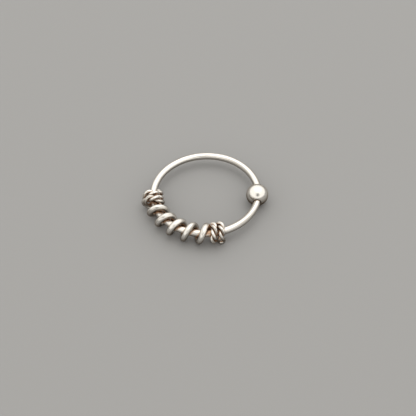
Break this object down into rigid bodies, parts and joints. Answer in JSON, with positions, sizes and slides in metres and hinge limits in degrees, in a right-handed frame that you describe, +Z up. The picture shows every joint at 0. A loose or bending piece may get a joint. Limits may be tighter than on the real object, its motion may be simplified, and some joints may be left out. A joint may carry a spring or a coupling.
{
  "type": "nose ring",
  "caption": "Round silver wire hoop closed by a small ball, dressed at the front with an open coil between twisted wire wraps.",
  "frame": {"origin": "on the surface that the ring lies on, under the middle of its footprint", "axes": "+Z up, square to the hoop's plane; +Y from the wound front towards the bare back of the hoop; +X towards the ball"},
  "size_m": [0.0144, 0.0136, 0.0025],
  "materials": {
    "drawn_silver": "bright drawn silver wire with fine lengthwise lines and darker crevices",
    "polished_silver": "polished silver with fine scratches"
  },
  "bodies": {
    "root": {"hoop_wire": "drawn_silver", "ball_bead": "polished_silver", "coil_wrap": "drawn_silver", "twist_wrap_left": "drawn_silver", "twist_wrap_right": "drawn_silver"}
  },
  "joints": []
}
